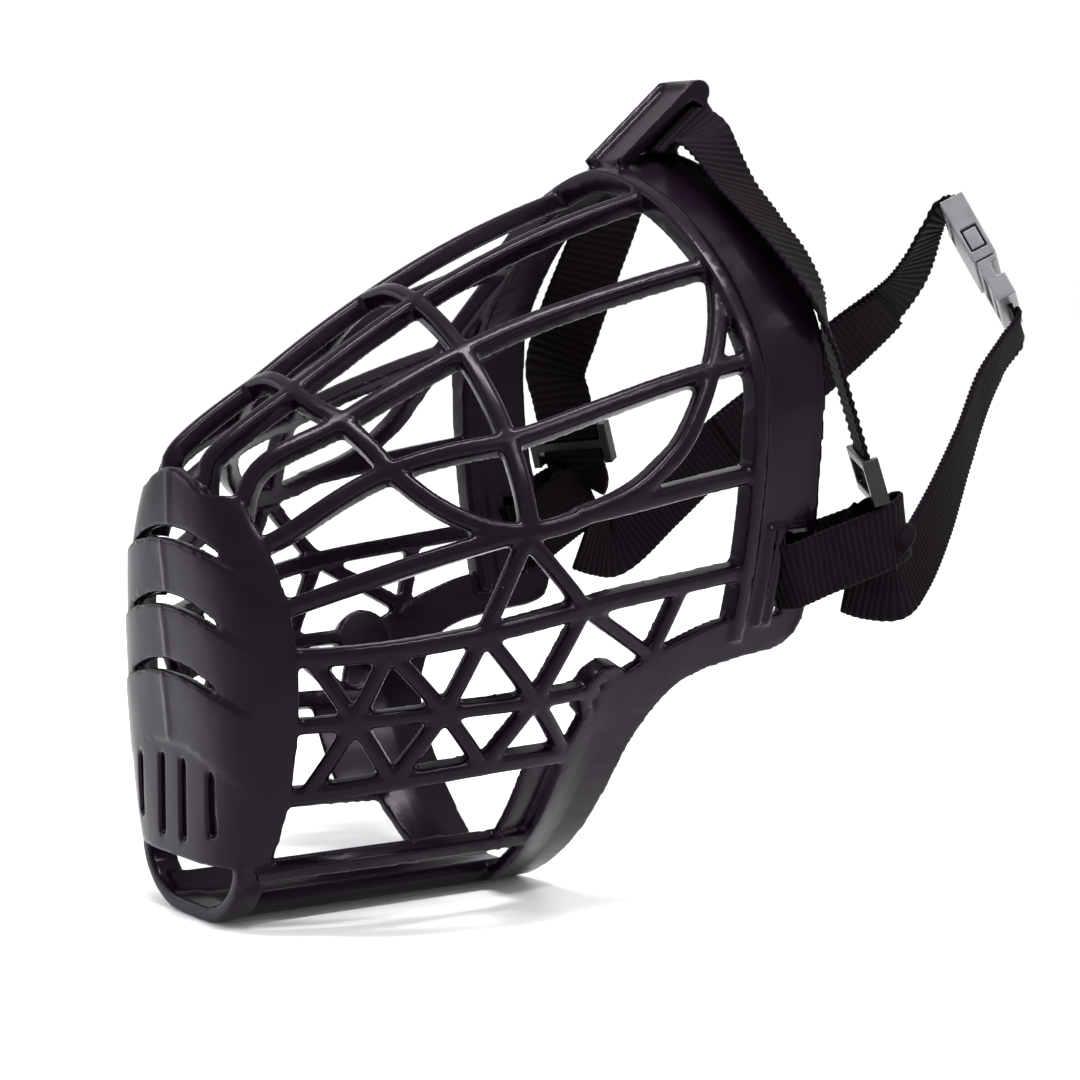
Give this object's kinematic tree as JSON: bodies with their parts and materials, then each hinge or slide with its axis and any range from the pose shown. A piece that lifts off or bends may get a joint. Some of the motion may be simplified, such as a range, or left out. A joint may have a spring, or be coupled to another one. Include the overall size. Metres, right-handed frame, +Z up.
{
  "type": "basket muzzle",
  "caption": "Dog's basket muzzle: a moulded cage with a nose plate, open rim and chin band, on a webbing harness with slide adjusters and a side release buckle.",
  "frame": {"origin": "on the underside of the front loop, in the middle of its front edge, on the surface the muzzle stands on", "axes": "+Z up, +Y from the nose towards the neck, +X towards the dog's left cheek"},
  "size_m": [0.1264, 0.2219, 0.167],
  "materials": {
    "plastic": "satin",
    "webbing": "matte",
    "hardware": "satin"
  },
  "bodies": {
    "basket": {"nose_guard": "plastic", "front_loop": "plastic", "rim_band": "plastic", "chin_band": "plastic", "roof_grille": "plastic", "forehead_bridge": "plastic", "cheek_grille_left": "plastic", "truss_panel_left": "plastic", "lower_rail_left": "plastic", "cheek_grille_right": "plastic", "truss_panel_right": "plastic", "lower_rail_right": "plastic", "bottom_strip": "plastic", "forehead_strap": "webbing", "neck_strap_left": "webbing", "neck_strap_right": "webbing", "strap_tail": "webbing", "cheek_loop_left": "webbing", "cheek_loop_right": "webbing", "buckle_socket": "hardware"},
    "plug": {"buckle_plug": "hardware"},
    "arm_left": {"buckle_arm_left": "hardware"},
    "arm_right": {"buckle_arm_right": "hardware"},
    "glide_left": {"tri_glide_left": "hardware"},
    "glide_right": {"tri_glide_right": "hardware"}
  },
  "joints": [
    {"name": "buckle_release", "type": "slide", "parent": "basket", "child": "plug", "axis": [0.5834, 0.0961, -0.8065], "range_m": [0, 0.018], "deforming": ["neck_strap_left", "buckle_arm_left", "buckle_arm_right"]},
    {"name": "arm_left_press", "type": "hinge", "parent": "plug", "child": "arm_left", "pos_m": [-0.00136, 0.21388, 0.12311], "axis": [0.5358, 0.7008, 0.471], "range_deg": [0, 10], "stiffness_Nm_per_rad": 0.05},
    {"name": "arm_right_press", "type": "hinge", "parent": "plug", "child": "arm_right", "pos_m": [0.00792, 0.20314, 0.12854], "axis": [-0.5358, -0.7008, -0.471], "range_deg": [0, 10], "stiffness_Nm_per_rad": 0.05},
    {"name": "glide_left_slide", "type": "slide", "parent": "basket", "child": "glide_left", "axis": [-0.069, -0.3089, 0.9486], "range_m": [0, 0.0115]},
    {"name": "glide_right_slide", "type": "slide", "parent": "basket", "child": "glide_right", "axis": [0.069, -0.3089, 0.9486], "range_m": [0, 0.0115]}
  ]
}
